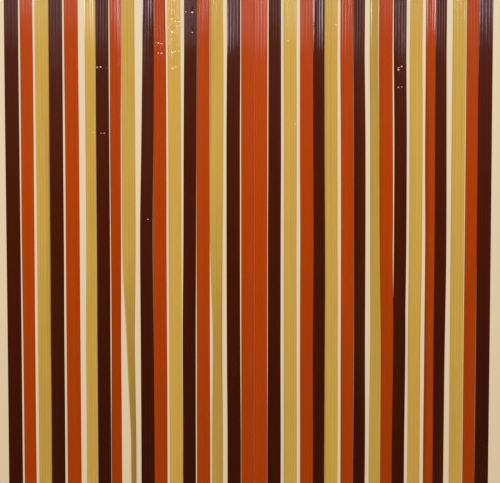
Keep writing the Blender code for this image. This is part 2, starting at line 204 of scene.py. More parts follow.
# Rounded edges of the extruded and moulded pieces, and how near points are when they are one.
RAIL_EDGE = 0.00022
CAP_EDGE = 0.00030
SUPPORT_EDGE = 0.00020
CLIP_EDGE = 0.00030
FINE_SEGMENTS = 3
SAME_POINT = 0.00001
# Angles in degrees: faces that are one, edges that are rounded, and edges that stay sharp.
FLAT_ANGLE = 0.5
ROUNDED_FROM = 30
MOULDED_SHARP = 40
RIBBON_SHARP = 50
TURNED_SHARP = 35

# Screws, as in the frame. Each head is a row of radii and heights, from its outer face inwards.
SCREW_SIDES = 28
THREAD_STEPS = 8
THREAD_CORE_SHARE = 0.72
THREAD_SLOPE = 1.7
POINT_SHARE = 0.22
RECESS_ARM = 0.00036
RECESS_FLARE_SHARE = 0.45
RECESS_RISE_SHARE = 0.4
Screw = namedtuple("Screw", "head shank length point pitch recess")
SCREWS = {
    "cap_screw": Screw(
        head=((0.00208, 0.0), (0.00220, -0.00012), (0.0012, -0.0012)),
        shank=0.0012, length=0.0090, point=0.0012, pitch=0.0009, recess=0.0013),
    "clip_screw": Screw(
        head=((0.0032, 0.0), (0.0034, -0.0002), (0.00175, -0.0020)),
        shank=0.00175, length=0.0250, point=0.0040, pitch=0.0016, recess=0.0021),
    "support_screw": Screw(
        head=((0.0013, -0.00006), (0.0019, -0.0003), (0.0023, -0.0007), (0.0025, -0.0013), (0.0024, -0.0014),
              (0.0012, -0.0014)),
        shank=0.0012, length=0.0074, point=0.0012, pitch=0.0009, recess=0.0014),
}

# Linear colours of the PVC: the body of the ribbon, a darker colour for its die lines and streaks, also
# painted as shade into its grooves and along its sides, and how much painted shade darkens its lower part.
PVC = {
    "pvc_brown": ((0.0780, 0.0116, 0.0018), (0.0425, 0.0062, 0.0012), 0.40),
    "pvc_orange": ((0.4500, 0.0580, 0.0018), (0.3440, 0.0372, 0.0014), 0.17),
    "pvc_ochre": ((0.6080, 0.3900, 0.0750), (0.4680, 0.2880, 0.0550), 0.08),
}
# Between which heights the painted shade of the lower part sets in, and how far across a ribbon its sides have
# painted shade.
PAINTED_SHADE_HEIGHTS = (-1.2, -0.4)
SIDE_SHADE = (0.0098, 0.0122)
# Relief of the die lines, and how much stronger the slow waves are.
RELIEF = 0.000003
WAVE_WEIGHT = 22.0
# Relief of the metals' and the nylon's grain.
METAL_RELIEF = 0.00003
NYLON_RELIEF = 0.00004

# The pale wall that shows between the ribbons: at the photograph's top edge and at its bottom edge.
# The wall's colour darkens towards the bottom as painted shade.
WALL_HIGH = (0.820, 0.655, 0.440)
WALL_LOW = (0.690, 0.522, 0.335)
WALL_FROM = 0.16
WALL_TO = -0.26

# What lights the curtain evenly from all round.
ROOM_COLOUR = (1.0, 0.96, 0.92)
ROOM_FILL = 0.48
# The room in front of the curtain, as its gloss mirrors it. Each pair says between which sines of the angle
# upwards something grows: the glow over the dark floor, a haze round eye level, and the ceiling.
ROOM_DARK = 0.030
ROOM_GLOW = 0.15
GLOW = (0.115, 0.165)
HAZE = (-0.03, 0.13)
HAZE_LIGHT = 0.13
CEILING = (0.25, 0.50)
CEILING_LIGHT = 0.7
CEILING_COLOUR = (1.0, 0.92, 0.95)
# Window panes: middle as a sine to the right, half width and brightness. Then how much of a pane is even, and
# where the panes start upwards.
PANES = ((-0.98, 0.02, 15.0), (-0.74, 0.03, 13.0), (-0.40, 0.03, 5.0), (-0.17, 0.02, 14.0), (0.22, 0.06, 2.5),
         (0.48, 0.04, 2.5), (0.75, 0.05, 3.0))
PANE_EVEN = 0.6
PANE_FOOT = (0.116, 0.158)
PANE_COLOUR = (0.90, 0.85, 1.0)
# A wide lamp high in front. As the photograph sees them, the ribbons mirror it only in their dents. Seen from
# below, or when they swing, their faces mirror it too.
LAMP = (0.24, 0.30)
LAMP_LIGHT = 22.0
LAMP_COLOUR = (1.0, 0.94, 0.84)
# Where the panes and the lamp end, upwards and towards the back.
BRIGHT_TOP = (0.55, 0.66)
BRIGHT_BACK = (0.20, 0.40)

FLOOR_Z = -2.012
FLOOR_RADIUS = 2.4
FLOOR_SIDES = 96
FLOOR_FADE = (0.55, 0.98)

# Area lights, which gloss doesn't mirror: name, place, aim, width and height, watts and colour.
LIGHTS = (
    ("key", (0.2, -4.5, 1.5), (0.0, 0.0, -0.75), (4.0, 1.6), 173, (1.0, 0.97, 0.93)),
    ("window", (-2.6, -1.6, 0.62), (0.0, 0.0, -0.5), (0.5, 0.9), 16, (0.93, 0.93, 1.0)),
    ("back_fill", (0.4, 3.2, 1.2), (0.0, 0.0, -0.9), (2.6, 1.2), 30, (1.0, 0.97, 0.94)),
)


def slot_of(node):
    return next(part["material_slot"] for part in frame["record"]["subparts"] if part["node"] == node)


def body_of(node):
    return next(name for name, members in frame["record"]["behaviour"]["bodies"].items() if node in members)


def seeded(number):
    return np.random.default_rng(number)


# Materials.

class Nodes:
    """Builds a node tree."""

    def __init__(self, tree):
        self.tree = tree

    def new(self, kind):
        return self.tree.nodes.new(kind)

    def feed(self, socket, value):
        if isinstance(value, bpy.types.NodeSocket):
            self.tree.links.new(value, socket)
        else:
            socket.default_value = value

    def math(self, operation, a, b=0.0, c=0.0, clamp=False):
        node = self.new("ShaderNodeMath")
        node.operation = operation
        node.use_clamp = clamp
        for socket, value in zip(node.inputs, (a, b, c)):
            self.feed(socket, value)
        return node.outputs[0]

    def scaled(self, vector, scale):
        node = self.new("ShaderNodeVectorMath")
        node.operation = "MULTIPLY"
        self.feed(node.inputs[0], vector)
        node.inputs[1].default_value = scale
        return node.outputs[0]

    def noise(self, vector, scale, detail=2.0):
        """Noise with a scale of its own along each axis, in features to the metre."""
        node = self.new("ShaderNodeTexNoise")
        self.feed(node.inputs["Vector"], self.scaled(vector, scale))
        node.inputs["Scale"].default_value = 1.0
        node.inputs["Detail"].default_value = detail
        return node.outputs["Fac"]

    def ramp(self, value, low, high, to_low=0.0, to_high=1.0):
        node = self.new("ShaderNodeMapRange")
        node.interpolation_type = "SMOOTHSTEP"
        self.feed(node.inputs["Value"], value)
        node.inputs["From Min"].default_value = low
        node.inputs["From Max"].default_value = high
        node.inputs["To Min"].default_value = to_low
        node.inputs["To Max"].default_value = to_high
        return node.outputs["Result"]

    def mix(self, share, a, b):
        node = self.new("ShaderNodeMix")
        node.data_type = "RGBA"
        self.feed(node.inputs["Factor"], share)
        for socket, value in ((node.inputs[6], a), (node.inputs[7], b)):
            self.feed(socket, value if isinstance(value, bpy.types.NodeSocket) else (*value, 1.0))
        return node.outputs[2]


class Look(Nodes):
    """Builds one material."""

    def __init__(self, name):
        self.material = bpy.data.materials.new(name)
        self.material.use_nodes = True
        super().__init__(self.material.node_tree)
        self.shader = self.tree.nodes["Principled BSDF"]

    def bump(self, height, distance, strength):
        node = self.new("ShaderNodeBump")
        node.inputs["Strength"].default_value = strength
        node.inputs["Distance"].default_value = distance
        self.feed(node.inputs["Height"], height)
        self.feed(self.shader.inputs["Normal"], node.outputs["Normal"])


def pvc(slot):
    """Extruded soft PVC: die lines along the ribbon, painted shade in the grooves, along the sides and lower
    down, a dull film in places.
    """
    body, shade, painted_low_shade = PVC[slot]
    n = Look(slot + "_look")
    strip = n.new("ShaderNodeAttribute")
    strip.attribute_name = "strip"
    apart = n.new("ShaderNodeSeparateXYZ")
    n.feed(apart.inputs[0], strip.outputs["Vector"])
    across, height, tone = apart.outputs

    die_lines = n.noise(strip.outputs["Vector"], (2600, 1.6, 40), 2.0)
    streaks = n.noise(strip.outputs["Vector"], (520, 0.9, 40), 1.0)
    clouds = n.noise(strip.outputs["Vector"], (90, 9, 40), 3.0)
    specks = n.noise(strip.outputs["Vector"], (1500, 700, 40), 1.0)

    # Painted shade in the grooves between the ribs and along the ribbon's rounded sides.
    phase = n.math("COSINE", n.math("MULTIPLY", across, math.tau / RIB))
    groove = n.ramp(phase, 0.80, 1.0)
    side = n.ramp(n.math("ABSOLUTE", across), *SIDE_SHADE)

    # Die lines, streaks, clouds and the ribbon's tone darken the colour as it is; grooves and sides add
    # painted shade.
    tone_and_painted_shade = n.math("MULTIPLY", n.ramp(die_lines, 0.35, 0.75), 0.34)
    tone_and_painted_shade = n.math("MULTIPLY_ADD", n.ramp(streaks, 0.35, 0.70), 0.26, tone_and_painted_shade)
    tone_and_painted_shade = n.math("MULTIPLY_ADD", n.ramp(clouds, 0.40, 0.75), 0.16, tone_and_painted_shade)
    tone_and_painted_shade = n.math("MULTIPLY_ADD", groove, 0.30, tone_and_painted_shade)
    tone_and_painted_shade = n.math("MULTIPLY_ADD", side, 0.24, tone_and_painted_shade)
    tone_and_painted_shade = n.math("MULTIPLY_ADD", tone, 0.16, tone_and_painted_shade, clamp=True)
    colour = n.mix(tone_and_painted_shade, body, shade)
    # Painted shade: the colour darkens towards the bottom of the ribbon.
    colour = n.mix(n.ramp(height, *PAINTED_SHADE_HEIGHTS, painted_low_shade, 0.0), colour, (0.0, 0.0, 0.0))
    dust = n.math("MULTIPLY", n.ramp(specks, 0.66, 0.80), 0.05)
    colour = n.mix(dust, colour, (0.55, 0.50, 0.45))
    n.feed(n.shader.inputs["Base Color"], colour)

    rough = n.math("MULTIPLY_ADD", n.ramp(clouds, 0.35, 0.75), 0.03, 0.045)
    rough = n.math("MULTIPLY_ADD", n.ramp(die_lines, 0.40, 0.80), 0.03, rough)
    n.feed(n.shader.inputs["Roughness"], rough)
    n.shader.inputs["IOR"].default_value = 1.50
    waves = n.noise(strip.outputs["Vector"], (110, 60, 40), 1.0)
    relief = n.math("MULTIPLY_ADD", streaks, 0.6, die_lines)
    n.bump(n.math("MULTIPLY_ADD", waves, WAVE_WEIGHT, relief), RELIEF, 1.0)
    return n.material


def aluminium():
    """Satin anodised extrusion: fine lines along the rail, faint clouds in the anodising."""
    n = Look("anodised_aluminium_look")
    place = n.new("ShaderNodeTexCoord").outputs["Object"]
    lines = n.noise(place, (6, 2600, 2600), 3.0)
    bands = n.noise(place, (2, 500, 500), 2.0)
    clouds = n.noise(place, (30, 60, 60), 3.0)
    scuffs = n.noise(place, (900, 120, 120), 2.0)
    colour = n.mix(n.ramp(bands, 0.3, 0.7), (0.60, 0.59, 0.57), (0.69, 0.68, 0.66))
    colour = n.mix(n.math("MULTIPLY", n.ramp(scuffs, 0.68, 0.80), 0.25), colour, (0.42, 0.41, 0.40))
    n.feed(n.shader.inputs["Base Color"], colour)
    n.shader.inputs["Metallic"].default_value = 1.0
    rough = n.math("MULTIPLY_ADD", n.ramp(lines, 0.3, 0.7), 0.14, 0.27)
    n.feed(n.shader.inputs["Roughness"], n.math("MULTIPLY_ADD", clouds, 0.10, rough))
    n.bump(lines, METAL_RELIEF, 0.5)
    return n.material


def zinc():
    """Bright zinc plating: bluish, faintly spangled and a little cloudy."""
    n = Look("zinc_plated_steel_look")
    place = n.new("ShaderNodeTexCoord").outputs["Object"]
    spangle = n.noise(place, (700, 700, 700), 2.0)
    clouds = n.noise(place, (90, 90, 90), 3.0)
    colour = n.mix(n.ramp(clouds, 0.35, 0.70), (0.64, 0.65, 0.67), (0.52, 0.52, 0.50))
    n.feed(n.shader.inputs["Base Color"], colour)
    n.shader.inputs["Metallic"].default_value = 1.0
    n.feed(n.shader.inputs["Roughness"], n.math("MULTIPLY_ADD", n.ramp(spangle, 0.3, 0.7), 0.16, 0.20))
    n.bump(spangle, METAL_RELIEF, 0.4)
    return n.material


def nylon():
    """Dark brown moulded nylon with a fine spark-eroded texture."""
    n = Look("moulded_nylon_look")
    place = n.new("ShaderNodeTexCoord").outputs["Object"]
    texture = n.noise(place, (2200, 2200, 2200), 2.0)
    flow = n.noise(place, (60, 160, 60), 3.0)
    colour = n.mix(n.ramp(flow, 0.35, 0.70), (0.048, 0.024, 0.013), (0.030, 0.015, 0.009))
    colour = n.mix(n.math("MULTIPLY", n.ramp(texture, 0.55, 0.80), 0.12), colour, (0.10, 0.07, 0.05))
    n.feed(n.shader.inputs["Base Color"], colour)
    n.feed(n.shader.inputs["Roughness"], n.math("MULTIPLY_ADD", texture, 0.22, 0.40))
    n.bump(texture, NYLON_RELIEF, 0.8)
    return n.material


# Meshes.

def new_object(name, mesh, look, matrix=None):
    item = bpy.data.objects.new(name, mesh)
    bpy.context.scene.collection.objects.link(item)
    if matrix is not None:
        item.matrix_world = matrix
    if not mesh.materials:
        mesh.materials.append(look)
    return item


def stand_for(item, node):
    """The piece takes the node's place and body, and the node is hidden."""
    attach(item, body_of(node))
    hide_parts(node)
    slot_of(node)


def face_out(mesh):
    work = bmesh.new()
    work.from_mesh(mesh)
    bmesh.ops.recalc_face_normals(work, faces=work.faces)
    work.to_mesh(mesh)
    work.free()


def baked(item):
    """Applies the object's modifiers to its mesh."""
    bpy.context.view_layer.update()
    evaluated = item.evaluated_get(bpy.context.evaluated_depsgraph_get())
    mesh = bpy.data.meshes.new_from_object(evaluated)
    item.modifiers.clear()
    item.data = mesh


def softened(node, name, look, radius, segments=2):
    """A copy of a moulded or extruded node with its edges rounded, as the real ones are."""
    work = bmesh.new()
    work.from_mesh(frame["nodes"][node].data)
    bmesh.ops.remove_doubles(work, verts=work.verts, dist=SAME_POINT)
    flat = math.radians(FLAT_ANGLE)
    bmesh.ops.dissolve_limit(work, angle_limit=flat, verts=work.verts, edges=work.edges)
    mesh = bpy.data.meshes.new(name)
    work.to_mesh(mesh)
    work.free()
    item = new_object(name, mesh, look)
    bevel = item.modifiers.new("edges", "BEVEL")
    bevel.width = radius
    bevel.segments = segments
    bevel.limit_method = "ANGLE"
    bevel.angle_limit = math.radians(ROUNDED_FROM)
    baked(item)
    item.data.materials.clear()
    item.data.materials.append(look)
    item.data.shade_smooth()
    item.data.set_sharp_from_angle(angle=math.radians(MOULDED_SHARP))
    stand_for(item, node)


def eased(levels, values, at):
    """Values between levels on a smooth line that doesn't overshoot them."""
    levels, values, at = (np.asarray(v, float) for v in (levels, values, at))
    steps = np.diff(levels)
    slopes = np.diff(values) / steps
    before, after = slopes[:-1], slopes[1:]
    inner = np.where(before * after > 0, 2 * before * after / (before + after + 1e-12), 0)
    ends = np.concatenate(([slopes[0]], inner, [slopes[-1]]))
    k = np.clip(np.searchsorted(levels, at) - 1, 0, len(steps) - 1)
    t = (at - levels[k]) / steps[k]
    a, b = values[k], values[k + 1]
    da, db = ends[k] * steps[k], ends[k + 1] * steps[k]
    return a + t * (da + t * (3 * (b - a) - 2 * da - db + t * (2 * (a - b) + da + db)))


def rib_samples():
    """Places across one face, in shares of half the width, closer together at the grooves."""
    inside = 0.5 - 0.5 * np.cos(np.pi * np.arange(STEPS_A_RIB) / STEPS_A_RIB)
    inside = 0.5 * inside + 0.5 * np.arange(STEPS_A_RIB) / STEPS_A_RIB
    shares = [(k + t) / RIBS * 2 - 1 for k in range(RIBS) for t in inside]
    return np.array(shares + [1.0])


def thickness(across, crest, valley, half_width):
    """Half the strip's thickness at places across it, with the outer edges rounded down."""
    within = np.abs(across) / RIB % 1.0 - 0.5
    body = valley / 2 + (crest - valley) / 2 * (1 - (2 * within) ** 2)
    from_side = (half_width - np.abs(across)) / (RIB / 2)
    rim = np.clip(from_side, 0, 1)
    return body + (EDGE / 2 - body) * (1 - rim) ** 2 * (crest > EDGE)


def section(half_width, crest, valley):
    """The outline of the strip in turn: front face, right edge, back face, left edge. Across and outwards."""
    across = rib_samples() * half_width
    out = thickness(across, crest, valley, half_width)
    edge = out[0]
    turns = np.pi / 2 * (1 - 2 * np.arange(1, EDGE_STEPS + 1) / (EDGE_STEPS + 1))
    reach = edge * EDGE_REACH_SHARE
    right = np.stack([across[-1] - reach + reach * np.cos(turns), edge * np.sin(turns)], 1)
    across = across * (1 - reach / half_width)
    front = np.stack([across, out], 1)
    back = np.stack([across[::-1], -out[::-1]], 1)
    left = right[::-1] * (-1, 1)
    return np.concatenate([front, right, back, left])


def stations(node):
    """Height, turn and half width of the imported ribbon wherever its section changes, from the top down."""
    co = np.array([v.co for v in frame["nodes"][node].data.vertices])
    heights = np.round(co[:, 2], 5)
    rows = []
    for z in sorted(set(heights), reverse=True):
        ring = np.unique(np.round(co[heights == z][:, :2], 6), axis=0)
        low, high = ring.min(0), ring.max(0)
        if len(ring) < LEAST_IN_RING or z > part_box("hanging_rod")[0].z:
            continue
        middle = (low + high) / 2
        far = ring[np.argmax(((ring - middle) ** 2).sum(1))] - middle
        values, vectors = np.linalg.eigh(np.cov((ring - middle).T))
        way = vectors[:, 1] * np.sign(vectors[0, 1])
        rows.append((z, math.degrees(math.atan2(way[1], way[0])), abs(far @ way)))
    return rows


def loop_path(rod_z):
    """Middle line of the strip in Y and Z, from the tongue over the rod and down the flap, and its facings."""
    neck = np.array([NECK_FRONT, NECK])
    reach = math.acos(LOOP_RADIUS / math.hypot(*neck))
    down = math.atan2(neck[1], neck[0])
    front = down - reach
    flap = np.array([FLAP_BACK, NECK])
    back = math.atan2(flap[1], flap[0]) + math.acos(LOOP_RADIUS / math.hypot(*flap))
    turns = np.linspace(front, back - math.tau, ARC_RINGS)
    arc = LOOP_RADIUS * np.stack([np.cos(turns), np.sin(turns)], 1)
    leg = neck + (arc[0] - neck) * np.linspace(*FRONT_LEG, LEG_RINGS)[:, None]
    other = arc[-1] + (flap - arc[-1]) * np.linspace(*BACK_LEG, LEG_RINGS)[:, None]
    down_flap = np.linspace(NECK - FLAP_START, FLAP_END, FLAP_RINGS)
    below = np.stack([np.full(FLAP_RINGS, FLAP_BACK), down_flap], 1)
    line = np.concatenate([leg, arc, other, below])
    ahead = np.gradient(line, axis=0)
    ahead /= np.linalg.norm(ahead, axis=1)[:, None]
    facing = np.stack([-ahead[:, 1], ahead[:, 0]], 1)
    count = len(leg) + len(arc) + len(other)

    def along(strip, loop, welded):
        """A thickness at every ring, from the strip's own to the loop's and the flap's."""
        return np.concatenate([np.linspace(strip, loop, len(leg)), np.full(len(arc), loop),
                               np.linspace(loop, welded, len(other)), np.full(len(below), welded)])

    crest = along(CREST, LOOP_CREST, FLAP_CREST)
    valley = along(VALLEY, LOOP_VALLEY, FLAP_VALLEY)
    return line + (0, rod_z), facing, crest, valley, count


def weld_pinch(height):
    """What share of its thickness the strip keeps at a height below the rod, where weld bars pressed it."""
    depth = sum(np.clip(1 - ((height - w) / WELD_HALF) ** 2, 0, 1) for w in WELDS)
    return 1 - WELD_DEPTH_SHARE * depth


def dented(flat, height, dents):
    """How far the dents near a height push each point of a section back: most on a rib's crest."""
    rib = np.clip((flat[:, 0] / RIB + RIBS / 2).astype(int), 0, RIBS - 1)
    crest = (1 - (2 * (flat[:, 0] / RIB % 1.0) - 1) ** 2) ** 5
    shift = np.zeros(len(flat))
    for at, dented_rib, depth in dents:
        near = min(abs(height - at) / DENT_HALF, 1)
        shift -= (rib == dented_rib) * depth * MM * crest * (1 + math.cos(math.pi * near)) / 2
    return shift


def rod_height():
    low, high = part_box("hanging_rod")
    return (low.z + high.z) / 2


class Ribbon:
    """How one ribbon hangs: its turn, width, sway and lean at every height."""

    def __init__(self, node):
        self.node = node
        self.number = int(node.split("_")[1])
        self.middle = ribbon_middle(node)
        self.levels, self.turns, halves = (np.array(column) for column in zip(*stations(node)))
        self.neck, self.flare, self.end = self.levels[0], self.levels[1], self.levels[-1]
        self.tongue_half, self.full_half = halves[0], halves[-1] + EDGE_FULLNESS
        self.random = seeded(self.number)
        draw = self.random.uniform
        self.waves = [(draw(0, math.tau), draw(*SWAY_LENGTHS)) for _ in range(4)]
        self.lean_levels = np.linspace(self.end, self.flare, LEAN_STEPS)
        self.lean = MM * self.bend(LEANS, self.lean_levels)

    def swing(self, heights, first):
        """A slow wave from -1 to 1 along the ribbon, which dies away at the flare."""
        free = np.clip((self.flare + SWAY_ABOVE - heights) / SWAY_FROM, 0, 1)
        (turn, length), (other_turn, other_length) = self.waves[first:first + 2]
        return free * (np.sin(math.tau * heights / length + turn) * SWAY_SHARES[0]
                       + np.sin(math.tau * heights / other_length + other_turn) * SWAY_SHARES[1])

    def bend(self, table, heights):
        """The ribbon's own values from a table of bends, which die away at the flare."""
        held = np.clip(heights, BEND_HEIGHTS[-1], BEND_HEIGHTS[0])
        values = eased(BEND_HEIGHTS[::-1], table.get(self.number, STRAIGHT)[::-1], held)
        free = np.clip((self.flare - heights) / LEAN_FROM, 0, 1)
        return values * free * free * (3 - 2 * free)

    def wide(self, heights):
        """From the ribbon's middle to its right edge, along X and Y."""
        order = np.argsort(self.levels)
        held = np.clip(heights, self.end, self.neck)
        turn = eased(self.levels[order], self.turns[order], held) + SWAY_TURN * self.swing(heights, 0)
        turn = np.radians(turn + self.bend(TWISTS, heights))
        half = self.full_half * np.stack([np.cos(turn), np.sin(turn)], 1)
        top_turn = math.radians(self.turns[1])
        grown = np.clip((self.neck - heights) / (self.neck - self.flare), 0, 1)[:, None]
        grown = grown * grown * (3 - 2 * grown)
        narrow = np.array([self.tongue_half, 0.0])
        at_flare = self.full_half * np.array([math.cos(top_turn), math.sin(top_turn)])
        return np.where(heights[:, None] > self.flare, narrow + (at_flare - narrow) * grown, half)

    def side(self, sign):
        """Where the ribbon's left or right side is along the rod, at each height of its lean."""
        half = self.wide(self.lean_levels)
        along = half / np.linalg.norm(half, axis=1)[:, None]
        flat = section(self.full_half, CREST, VALLEY)
        reach = (along[:, :1] * flat[:, 0] + along[:, 1:] * flat[:, 1]).max(1)
        return self.middle + self.lean + sign * reach

    def middle_at(self, heights):
        lean = np.interp(heights, self.lean_levels, self.lean)
        sway = -SWAY_Y if self.number in SWAY_TURNED else SWAY_Y
        return np.stack([self.middle + lean, sway * self.swing(heights, 2)], 1)


def lean_together(row):
    """Closes the pairs that touch, keeps every pair apart, and lets all leans die away at the flare."""
    for left, right in zip(row, row[1:]):
        levels = right.lean_levels
        gap = right.side(-1) - left.side(1)
        low, high = TOUCHING.get(left.number, (0.0, 0.0))
        near = np.clip(np.minimum(levels - low, high - levels) / TOUCH_FADE, 0, 1)
        right.lean -= near * np.clip(gap - EDGE_ROOM, 0, TOUCH_MOST)
        gap = right.side(-1) - left.side(1)
        right.lean += np.clip(EDGE_ROOM - gap, 0, None)
    for ribbon in row:
        free = np.clip((ribbon.flare - ribbon.lean_levels) / LEAN_FROM, 0, 1)
        ribbon.lean *= free * free * (3 - 2 * free)


def ribbon_mesh(ribbon):
    rod_z = rod_height()
    end, flare, random = ribbon.end, ribbon.flare, ribbon.random
    main = np.linspace(end, flare, int((flare - end) / RING_STEP) + 1)
    flaring = np.linspace(flare, ribbon.neck, FLARE_RINGS)[1:]
    tongue = np.linspace(ribbon.neck, rod_z + NECK, TONGUE_RINGS)[1:]
    dents = [(rod_z + z, rib, depth) for z, rib, depth in DENTS.get(ribbon.number, ())]
    for z in random.uniform(end + LOW_DENTS_END, LOW_DENTS_FROM, LOW_DENTS):
        place = z + random.uniform(-DENT_HALF, DENT_HALF)
        dents.append((place, random.integers(RIBS), random.uniform(*LOW_DENT_DEPTHS)))
    extra = [z + DENT_HALF * np.linspace(-1, 1, DENT_RINGS) for z, _, _ in dents]
    heights = np.unique(np.round(np.concatenate([main, flaring, tongue, *extra]), 6))

    ring_list, strip_list = [], []
    for z, half, middle in zip(heights, ribbon.wide(heights), ribbon.middle_at(heights)):
        width = math.hypot(*half)
        along = half / width
        out = np.array([along[1], -along[0]])
        pinch = weld_pinch(z - rod_z)
        flat = section(width, CREST * pinch, VALLEY * pinch)
        depth = flat[:, 1] + dented(flat, z, dents)
        point = flat[:, :1] * along + depth[:, None] * out + middle
        ring_list.append(np.column_stack([point, np.full(len(flat), z)]))
        strip_list.append(np.column_stack([flat[:, 0], np.full(len(flat), z)]))

    line, facing, crests, valleys, above = loop_path(rod_z)
    length = heights[-1]
    for k, (place, out, crest, valley) in enumerate(zip(line, facing, crests, valleys)):
        length += np.linalg.norm(place - line[k - 1]) if k else FIRST_STEP
        pinch = weld_pinch(place[1] - rod_z) if k >= above else 1.0
        flat = section(ribbon.tongue_half, crest * pinch, valley * pinch)
        point = np.column_stack([ribbon.middle + flat[:, 0], place[0] + flat[:, 1] * out[0],
                                 place[1] + flat[:, 1] * out[1]])
        ring_list.append(point)
        strip_list.append(np.column_stack([flat[:, 0], np.full(len(flat), length)]))

    return strip_mesh(ribbon.node + "_strip", np.array(ring_list), np.array(strip_list), random.uniform(0, 1))


def ribbon_middle(node):
    """Where a ribbon hangs along the rod: the middle of its loop."""
    co = np.array([v.co for v in frame["nodes"][node].data.vertices])
    loop = co[co[:, 2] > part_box("hanging_rod")[0].z]
    return float((loop[:, 0].min() + loop[:, 0].max()) / 2)


def strip_mesh(name, rings, strip, tone):
    """A closed skin through the rings, with its own strip coordinates for the material."""
    count, around, _ = rings.shape
    index = np.arange(count * around).reshape(count, around)
    beside = np.roll(index, -1, 1)
    walls = np.stack([index[:-1], beside[:-1], beside[1:], index[1:]], -1).reshape(-1, 4)
    face = RIBS * STEPS_A_RIB + 1
    caps = []
    for ring, flip in ((index[0], False), (index[-1], True)):
        front = ring[:face]
        back = ring[face + EDGE_STEPS:2 * face + EDGE_STEPS][::-1]
        right = ring[face - 1:face + EDGE_STEPS + 1]
        left = np.append(ring[2 * face + EDGE_STEPS - 1:], ring[0])
        made = [[front[k], back[k], back[k + 1], front[k + 1]] for k in range(face - 1)]
        made += [list(right), list(left)]
        caps += [quad[::-1] if flip else quad for quad in made]
    mesh = bpy.data.meshes.new(name)
    faces = [[int(v) for v in quad] for quad in walls.tolist() + caps]
    mesh.from_pydata(rings.reshape(-1, 3).tolist(), [], faces)
    face_out(mesh)
    flat = strip.reshape(-1, 2)
    values = np.column_stack([flat, np.full(len(flat), tone)]).astype(np.float32)
    own = mesh.attributes.new("strip", "FLOAT_VECTOR", "POINT")
    own.data.foreach_set("vector", values.ravel())
    mesh.shade_smooth()
    mesh.set_sharp_from_angle(angle=math.radians(RIBBON_SHARP))
    return mesh


def ribbons(looks):
    row = [Ribbon(node) for node in sorted(n for n in frame["nodes"] if n.startswith("ribbon_"))]
    lean_together(row)
    for ribbon in row:
        item = new_object(ribbon.node + "_strip", ribbon_mesh(ribbon), looks[slot_of(ribbon.node)])
        stand_for(item, ribbon.node)


def lathe(name, radii, heights):
    """A closed skin round Z: a row of radii for each height, from the top down, with its ends filled."""
    count, sides = radii.shape
    index = np.arange(count * sides).reshape(count, sides)
    beside = np.roll(index, -1, 1)
    walls = np.stack([index[:-1], index[1:], beside[1:], beside[:-1]], -1).reshape(-1, 4).tolist()
    turn = math.tau * np.arange(sides) / sides
    up = np.repeat(np.asarray(heights)[:, None], sides, 1)
    points = np.stack([radii * np.cos(turn), radii * np.sin(turn), up], -1).reshape(-1, 3)
    mesh = bpy.data.meshes.new(name)
    mesh.from_pydata(points.tolist(), [], walls + [index[0].tolist(), index[-1].tolist()])
    face_out(mesh)
    mesh.shade_smooth()
    mesh.set_sharp_from_angle(angle=math.radians(TURNED_SHARP))
    return mesh


def hanging_rod(look):
    """The round rod, with its cut ends chamfered."""
    lo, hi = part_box("hanging_rod")
    half, radius = (hi.x - lo.x) / 2, (hi.z - lo.z) / 2
    heights = (half, half - ROD_CHAMFER, ROD_CHAMFER - half, -half)
    radii = np.array([radius - ROD_CHAMFER, radius, radius, radius - ROD_CHAMFER])
    mesh = lathe("rod", np.repeat(radii[:, None], ROD_SIDES, 1), heights)
    middle = (lo + hi) / 2
    lay = Matrix.Translation(middle) @ Matrix.Rotation(math.pi / 2, 4, "Y")
    stand_for(new_object("hanging_rod_round", mesh, look, lay), "hanging_rod")


def recess_cutter(reach):
    """A cross that narrows as it goes down into a screw's head."""
    arm = RECESS_ARM
    cross = [(reach, -arm), (reach, arm), (arm, arm), (arm, reach), (-arm, reach), (-arm, arm),
             (-reach, arm), (-reach, -arm), (-arm, -arm), (-arm, -reach), (arm, -reach), (arm, -arm)]
    high = [(x, y, reach * RECESS_RISE_SHARE) for x, y in cross]
    low = [(x * RECESS_FLARE_SHARE, y * RECESS_FLARE_SHARE, -reach) for x, y in cross]
    count = len(cross)
    around = [(k, (k + 1) % count, (k + 1) % count + count, k + count) for k in range(count)]
    mesh = bpy.data.meshes.new("recess")
    mesh.from_pydata(high + low, [], around + [tuple(range(count)), tuple(range(count, 2 * count))])
    face_out(mesh)
    item = bpy.data.objects.new("recess", mesh)
    bpy.context.scene.collection.objects.link(item)
    return item


def screw_mesh(name, screw, look):
    """A screw with its head's outer face at height 0 and its point down: recess, shank and rolled thread."""
    turn = np.arange(SCREW_SIDES) / SCREW_SIDES
    seat = screw.head[-1][1]
    heights = np.arange(seat, -screw.length, -screw.pitch / THREAD_STEPS)[1:]
    body = np.interp(-heights, (-seat, screw.length - screw.point, screw.length),
                     (screw.shank, screw.shank, screw.shank * POINT_SHARE))
    wave = (heights[:, None] / screw.pitch + turn) % 1.0
    crest = np.clip(1 - np.abs(2 * wave - 1) * THREAD_SLOPE, 0, 1)
    thread = body[:, None] * (THREAD_CORE_SHARE + (1 - THREAD_CORE_SHARE) * crest)
    head = np.array(screw.head)
    radii = np.concatenate([np.repeat(head[:, :1], SCREW_SIDES, 1), thread])
    item = new_object(name, lathe(name, radii, np.concatenate([head[:, 1], heights])), look)
    cutter = recess_cutter(screw.recess)
    cutter.location.z = head[0, 1]
    cut = item.modifiers.new("recess", "BOOLEAN")
    cut.operation = "DIFFERENCE"
    cut.solver = "EXACT"
    cut.object = cutter
    baked(item)
    bpy.data.objects.remove(cutter, do_unlink=True)
    mesh = item.data
    bpy.data.objects.remove(item, do_unlink=True)
    mesh.set_sharp_from_angle(angle=math.radians(TURNED_SHARP))
    return mesh


